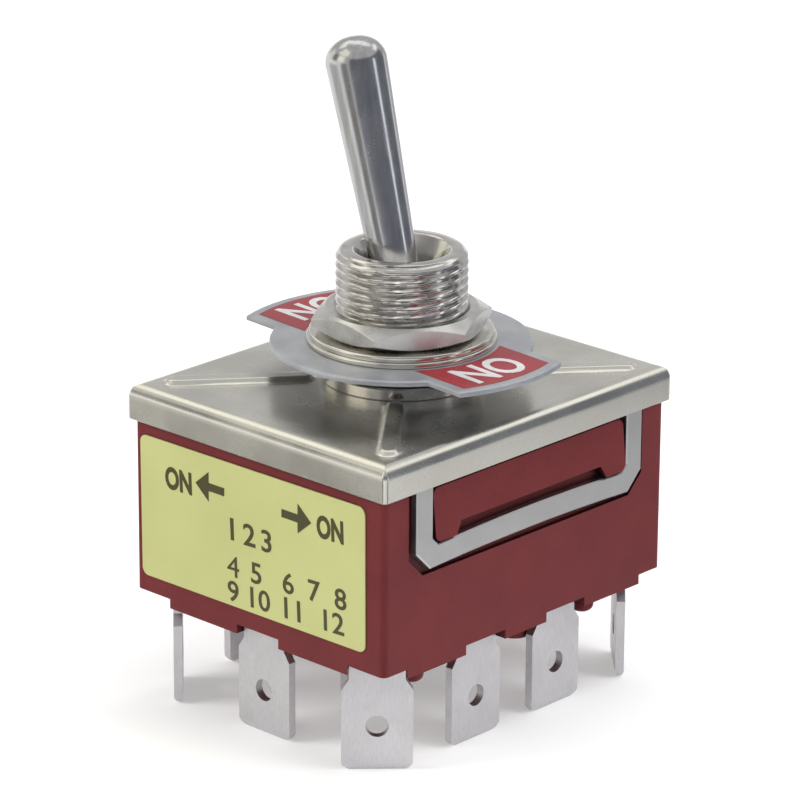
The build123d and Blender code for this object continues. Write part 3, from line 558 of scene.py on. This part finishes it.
brushed_nickel = nickel("brushed_nickel", 0.22, 0.31, (0.57, 0.56, 0.545), (0.69, 0.68, 0.66), cloud=0.6,
                        grain=14.0)
for nut_name, node, low, high, turn in (("nut_under_plate", "lower_nut", collar_top, lower_nut_top, 17.0),
                                        ("nut_on_panel", "upper_nut", upper_nut_low, upper_nut_top, -4.0)):
    nut = new_piece(grid_mesh(nut_name, hexagon_nut(low, high, turn), True, True), brushed_nickel, sharp=15.0)
    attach(nut, "base")
    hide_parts(node)

# Washers: a plain one and a toothed lock washer, stamped, so that their edges are drawn round, then plated.
# They lie between the legend plate and the upper nut.
washer_bore, washer_edge, tooth_count, tooth_depth, tooth_steepness = 6.15, 0.16, 10, 0.42, 2.2


def rounded_profile(points, size, steps=4):
    """Closed profile with each corner replaced by an arc that starts and ends a small size from it."""
    points = np.array(points, float)
    back, ahead = np.roll(points, 1, axis=0) - points, np.roll(points, -1, axis=0) - points
    back_length, ahead_length = (np.linalg.norm(way, axis=1, keepdims=True) for way in (back, ahead))
    start = (points + back / back_length * np.minimum(size, 0.45 * back_length))[:, None]
    end = (points + ahead / ahead_length * np.minimum(size, 0.45 * ahead_length))[:, None]
    share = np.linspace(0, 1, steps)[None, :, None]
    curve = (1 - share) ** 2 * start + 2 * share * (1 - share) * points[:, None] + share ** 2 * end
    return curve.reshape(-1, 2)


def toothed(radius, height, angle):
    """Inner edge of the lock washer swings between its teeth's tips and their roots; the outer stays round."""
    wave = np.clip(tooth_steepness * np.cos(tooth_count * angle), -1, 1)
    return np.where(radius < washer_bore + 1, radius + tooth_depth * (1 - wave) / 2, radius + 0 * angle)


washer_nickel = nickel("washer_nickel", 0.10, 0.19, (0.68, 0.66, 0.60), (0.80, 0.78, 0.72), cloud=0.5,
                       grain=12.0)
for washer_name, node, outer, shape in (("washer_plain", "plain_washer", 8.65, None),
                                        ("washer_toothed", "lock_washer", 8.40, toothed)):
    low, high = (corner.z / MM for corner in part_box(node))
    section = rounded_profile([(washer_bore, low), (outer, low), (outer, high), (washer_bore, high)],
                              washer_edge)
    washer = new_piece(grid_mesh(washer_name, turned(section, 200, shape), True, True), washer_nickel,
                       sharp=50.0)
    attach(washer, "base")
    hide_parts(node)

# Legend plate: a disc with two wings stamped from thin aluminium, grey with a bright border, with a red field
# printed on each wing and the letters left bare. It is turned a little on the bushing.
plate_disc, plate_wing, plate_half, plate_bore, plate_turn = 11.95, 15.56, 6.2, 6.15, radians(-4.2)
plate_low, plate_high = (corner.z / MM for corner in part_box("legend_plate"))
wing_corners = np.array([asin(plate_half / plate_wing), asin(plate_half / plate_disc)])
past_corner = 0.004
quarter = np.sort(np.concatenate([np.linspace(0, pi / 2, 60), wing_corners, wing_corners + past_corner]))
full_turn = np.concatenate([quarter, pi - quarter, pi + quarter, 2 * pi - quarter])
plate_angle = np.unique(np.round(full_turn, 9) % (2 * pi))
wing_reach = np.minimum(plate_wing, plate_half / np.maximum(np.abs(np.sin(plate_angle)), 1e-6))
plate_outline = np.maximum(plate_disc, wing_reach)
# Each ring is (inset from the outline, height, share of the way in to the bore): up the edge, which the die drew
# round, over the top and down the bore.
plate_rings = np.array([(0.0, plate_low, 0), (0.0, plate_high - 0.15, 0), (0.06, plate_high - 0.05, 0),
                        (0.20, plate_high, 0), (0.55, plate_high, 0), (0.0, plate_high, 0.35),
                        (0.0, plate_high, 0.7), (0.0, plate_high, 1), (0.0, plate_low, 1)])
inset, height, share = plate_rings.T[..., None]
radius = (plate_outline - inset) * (1 - share) + plate_bore * share
angle = plate_angle + plate_turn
plate_points = np.stack([radius * np.cos(angle), radius * np.sin(angle), height + 0 * radius], axis=-1)
plate_metal, tree, shader, wear = new_finish("legend_aluminium", 0.36, 0.50, cloud=0.4, grain=10.0,
                                             Metallic=0.75)
tinted(tree, shader, wear["Cloud"], (0.35, (0.43, 0.44, 0.47)), (0.65, (0.53, 0.54, 0.56)))
relief(tree, shader, wear["Grain"], strength=0.15, depth=0.00002)
plate = new_piece(grid_mesh("legend_plate_stamped", plate_points, True, True), plate_metal, sharp=40.0)
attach(plate, "base")
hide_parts("legend_plate")

field_inner, field_outer, field_half, print_rise, print_root = 9.0, 14.62, 5.2, 0.02, 0.05
red_print, tree, shader, wear = new_finish("red_print", 0.30, 0.42, cloud=0.6, grain=12.0)
tinted(tree, shader, wear["Cloud"], (0.35, (0.25, 0.014, 0.022)), (0.65, (0.31, 0.026, 0.034)))
relief(tree, shader, wear["Grain"], strength=0.10, depth=0.00001)


def plate_place(x, y, z):
    """Points in the plate's own directions, turned onto it."""
    return np.stack([x * cos(plate_turn) - y * sin(plate_turn), x * sin(plate_turn) + y * cos(plate_turn),
                     z + 0 * x], axis=-1)


across = np.linspace(-field_half, field_half, 49)[None, :]
share = np.linspace(0, 1, 13)[:, None]
far, near = np.sqrt(field_outer ** 2 - across ** 2), np.sqrt(field_inner ** 2 - across ** 2)
for field_name, side in (("red_field_right", 1), ("red_field_left", -1)):
    x, y = side * (near * (1 - share) + far * share), across + 0 * share
    top, under = plate_place(x, y, plate_high + print_rise), plate_place(x, y, plate_high - print_root)
    slab = np.concatenate([under[:1], top, under[-1:]])
    field = new_piece(grid_mesh(field_name, slab, False, False), red_print)
    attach(field, "base")


def lettering(name, words, finish):
    """Words set flat in Blender's own face as one mesh: each (text, weight, width, height, place) is thickened
    by its weight, stretched to its width and height in millimetres about its middle, and carried to its place by
    the matrix. A width of 0 keeps the face's own proportion to the height, a little widened."""
    typed_depth, widening, deepening = 0.01, 1.12, 1.5
    shape = bmesh.new()
    for text, weight, width, tall, place in words:
        curve = bpy.data.curves.new(name, "FONT")
        curve.body = text
        curve.offset = weight
        curve.extrude = typed_depth
        curve.resolution_u = 4
        typed = bpy.data.objects.new(name, curve)
        bpy.context.scene.collection.objects.link(typed)
        letters = bpy.data.meshes.new_from_object(typed.evaluated_get(bpy.context.evaluated_depsgraph_get()))
        bpy.data.objects.remove(typed)
        corners = np.array([vertex.co for vertex in letters.vertices])
        low, high = corners.min(axis=0), corners.max(axis=0)
        letters.transform(Matrix.Translation(Vector(-(low + high) / 2)))
        rise = tall / (high[1] - low[1])
        spread = width / (high[0] - low[0]) if width else widening * rise
        letters.transform(Matrix.Diagonal((spread, rise, deepening, 1.0)))
        letters.transform(place)
        shape.from_mesh(letters)
    bmesh.ops.remove_doubles(shape, verts=shape.verts, dist=1e-5)
    bmesh.ops.recalc_face_normals(shape, faces=shape.faces)
    bmesh.ops.scale(shape, vec=(MM, MM, MM), verts=shape.verts)
    mesh = bpy.data.meshes.new(name)
    shape.to_mesh(mesh)
    shape.free()
    return new_piece(mesh, finish)


on_weight, on_width, on_height, on_reach, on_rise = 0.022, 6.6, 4.3, 11.6, 0.03
bare_metal, tree, shader, wear = new_finish("bare_aluminium", 0.36, 0.48, cloud=0.6, grain=12.0, Metallic=0.4)
tinted(tree, shader, wear["Cloud"], (0.35, (0.74, 0.74, 0.75)), (0.65, (0.82, 0.82, 0.82)))
turned_plate, read_from_side = Matrix.Rotation(plate_turn, 4, "Z"), Matrix.Rotation(-pi / 2, 4, "Z")
words = []
for x in (on_reach, -on_reach):
    place = turned_plate @ Matrix.Translation((x, 0.0, plate_high + on_rise)) @ read_from_side
    words.append(("ON", on_weight, on_width, on_height, place))
plate_letters = lettering("legend_letters", words, bare_metal)
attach(plate_letters, "base")

# Lever: one turned steel piece, polished and nickel plated: a tapered handle with a domed tip, the pivot ball
# that sits in the bushing, and the lower arm's ball that drives the carriage. It rests latched to one side.
lever_tilt, ball_radius, root_radius, tip_radius = radians(15.0), 3.3, 2.1, 2.8
lever_length, dome_height, arm_length, drive_radius = 24.5, 2.3, 12.6, 1.6
drive_top, ball_bottom, dome_fullness = 0.85, -1.165, 0.92
handle_low, dome_low = sqrt(ball_radius ** 2 - root_radius ** 2), lever_length - dome_height
drive_ball = swung(drive_radius, -pi / 2, drive_top, 14) - [0, arm_length]
pivot_ball = swung(ball_radius, ball_bottom, atan2(handle_low, root_radius), 26)
share = np.linspace(0, 1, 30)[1:, None]
handle = np.array([root_radius, handle_low]) * (1 - share) + np.array([tip_radius, dome_low]) * share
quarter = swung(1.0, 0, pi / 2, 26)[1:]
dome = np.stack([tip_radius * quarter[:, 0] ** dome_fullness, dome_low + dome_height * quarter[:, 1]], axis=1)
x, y, z = np.moveaxis(turned(np.concatenate([drive_ball, pivot_ball, handle, dome]), 160), -1, 0)
lever_points = np.stack([x * cos(lever_tilt) - z * sin(lever_tilt), y,
                         x * sin(lever_tilt) + z * cos(lever_tilt) + pivot_height], axis=-1)
lever_nickel, tree, shader, wear = new_finish("lever_nickel", 0.12, 0.19, cloud=0.3, grain=10.0,
                                              scratches=0.6, Metallic=1.0)
place = add_node(tree, "TexCoord").outputs["Object"]
drawn = add_node(tree, "Mapping", [(0, place)], Rotation=(0, lever_tilt, 0), Scale=(900, 900, 60))
drawn = add_node(tree, "TexNoise", [("Vector", drawn.outputs[0])], Scale=1.6, Detail=3.0).outputs[0]
tinted(tree, shader, drawn, (0.35, (0.50, 0.495, 0.50)), (0.65, (0.60, 0.595, 0.60)))
relief(tree, shader, drawn, strength=0.12, depth=0.00002)
lever = new_piece(grid_mesh("lever_turned", lever_points, False, True), lever_nickel, sharp=60.0)
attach(lever, "lever")
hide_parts("lever")

# Label: pale yellow-green film stuck on the front, with dark olive print: the two ON positions with their arrows
# and the terminals' numbers in rows. The words climb a little to the right, and so do the two lower rows.
film, tree, shader, wear = new_finish("label_film", 0.34, 0.46, cloud=0.12, grain=7.0, scratches=0.3)
tinted(tree, shader, wear["Cloud"], (0.32, (0.585, 0.600, 0.235)), (0.68, (0.625, 0.640, 0.262)))
relief(tree, shader, wear["Grain"], strength=0.12, depth=0.00001)
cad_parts["rating_label"].data.materials[0] = film

ink, tree, shader, wear = new_finish("olive_ink", 0.42, 0.55, cloud=0.5, grain=12.0, scratches=0.2)
tinted(tree, shader, wear["Grain"], (0.30, (0.052, 0.046, 0.010)), (0.66, (0.076, 0.068, 0.017)))
label_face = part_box("rating_label")[0].y / MM
print_lean, row_slope, row_start, ink_sunk = radians(-2.3), 0.045, -1.3, 0.01
top_row, middle_row, bottom_row = 7.35, 10.83, 13.22
# Each word is (text, weight, width, height, x, drop below the cover's lower edge). The 4 keeps the face's own
# weight, because thickening spoils its outline.
label_words = [("ON", 0.040, 3.40, 2.20, -9.80, 4.50), ("ON", 0.040, 3.25, 2.20, 9.12, 4.10)]
label_words += [(number, 0.014, 0, 2.10, x, top_row)
                for number, x in (("1", -3.0), ("2", -0.85), ("3", 1.30))]
for row, numbers in ((middle_row, (("4", -2.9), ("5", 0.0), ("6", 4.0), ("7", 7.2), ("8", 10.4))),
                     (bottom_row, (("9", -2.9), ("10", 0.5), ("11", 4.5), ("12", 9.6)))):
    label_words += [(number, 0.0 if number == "4" else 0.012, 0, 2.00, x, row - row_slope * (x - row_start))
                    for number, x in numbers]
upright = Matrix.Rotation(print_lean, 4, "Y") @ Matrix.Rotation(pi / 2, 4, "X")
words = [(*word, Matrix.Translation((x, label_face - ink_sunk, cover_low - drop)) @ upright)
         for *word, x, drop in label_words]
label_print = lettering("label_print", words, ink)
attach(label_print, "base")

arrow_length, arrow_head, arrow_spread, arrow_shaft = 3.64, 1.66, 1.40, 0.38
arrow_rise, arrow_depth = 0.03, 0.04
half_arrow = [(arrow_head, arrow_spread), (arrow_head, arrow_shaft), (arrow_length, arrow_shaft)]
behind, above = np.array([(0, 0)] + half_arrow + [(back, -up) for back, up in reversed(half_arrow)]).T
for arrow_name, tip, middle, side in (("arrow_left", -7.60, -4.10, -1), ("arrow_right", 6.84, -4.14, 1)):
    count = len(behind)
    front = np.stack([tip - side * behind, np.full(count, label_face - arrow_rise),
                      middle + cover_low + above], axis=1)
    rear = front + [0, arrow_depth, 0]
    sides = [(k, (k + 1) % count, count + (k + 1) % count, count + k) for k in range(count)]
    mesh = bpy.data.meshes.new(arrow_name)
    mesh.from_pydata((np.concatenate([front, rear]) * MM).tolist(), [],
                     [tuple(range(count)), tuple(range(2 * count - 1, count - 1, -1))] + sides)
    shape = bmesh.new()
    shape.from_mesh(mesh)
    bmesh.ops.recalc_face_normals(shape, faces=shape.faces)
    shape.to_mesh(mesh)
    shape.free()
    arrow = new_piece(mesh, ink)
    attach(arrow, "base")

# Terminals: tabs blanked from brass sheet and tin plated, satin, with the rolled sheet's fine streaks and
# scratches. They are pressed through the housing's floor, and the rockers inside are of the same sheet.
tinned, tree, shader, wear = new_finish("tinned_brass", 0.36, 0.48, cloud=0.35, grain=10.0, scratches=0.9,
                                        Metallic=1.0)
place = add_node(tree, "TexCoord").outputs["Object"]
rolled = add_node(tree, "Mapping", [(0, place)], Scale=(8000, 8000, 1600))
rolled = add_node(tree, "TexNoise", [("Vector", rolled.outputs[0])], Scale=1.0, Detail=3.0).outputs[0]
tinted(tree, shader, rolled, (0.34, (0.56, 0.545, 0.56)), (0.66, (0.61, 0.595, 0.61)))
relief(tree, shader, rolled, strength=0.05, depth=0.00001)
for name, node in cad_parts.items():
    if name.endswith("_terminal") or name.startswith("rocker_") and "contacts" not in name:
        node.data.materials[0] = tinned

# Hidden works: silver contact rivets, turned brass sleeve and plungers, steel pin and springs, a black moulded
# carriage and a pressed fibre sheet under the cover. Where a name fits two starts, the later one holds.
silver = nickel("contact_silver", 0.28, 0.42, (0.66, 0.66, 0.64), (0.78, 0.78, 0.76), cloud=0.8, grain=10.0)
brass = nickel("turned_brass", 0.22, 0.34, (0.58, 0.42, 0.18), (0.68, 0.50, 0.23), cloud=0.6, grain=12.0)
steel = nickel("hard_steel", 0.22, 0.34, (0.42, 0.42, 0.43), (0.52, 0.52, 0.53), cloud=0.6, grain=12.0)
moulded, tree, shader, wear = new_finish("black_phenolic", 0.38, 0.52, grain=6.0)
tinted(tree, shader, wear["Grain"], (0.32, (0.016, 0.014, 0.014)), (0.66, (0.034, 0.030, 0.029)))
relief(tree, shader, wear["Grain"], strength=0.3, depth=0.00003)
fibre, tree, shader, wear = new_finish("pressed_fibre", 0.62, 0.80, grain=5.0, scratches=0.1)
tinted(tree, shader, wear["Grain"], (0.32, (0.30, 0.19, 0.10)), (0.66, (0.44, 0.30, 0.17)))
relief(tree, shader, wear["Grain"], strength=0.5, depth=0.00006)
hidden_finishes = {"fixed_contact": silver, "rocker_contacts": silver, "bushing_sleeve": brass,
                   "plunger_": brass, "plunger_spring": steel, "pivot_pin": steel, "actuator": moulded,
                   "insulating": fibre}
for name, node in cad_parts.items():
    for start, finish in hidden_finishes.items():
        if name.startswith(start):
            node.data.materials[0] = finish
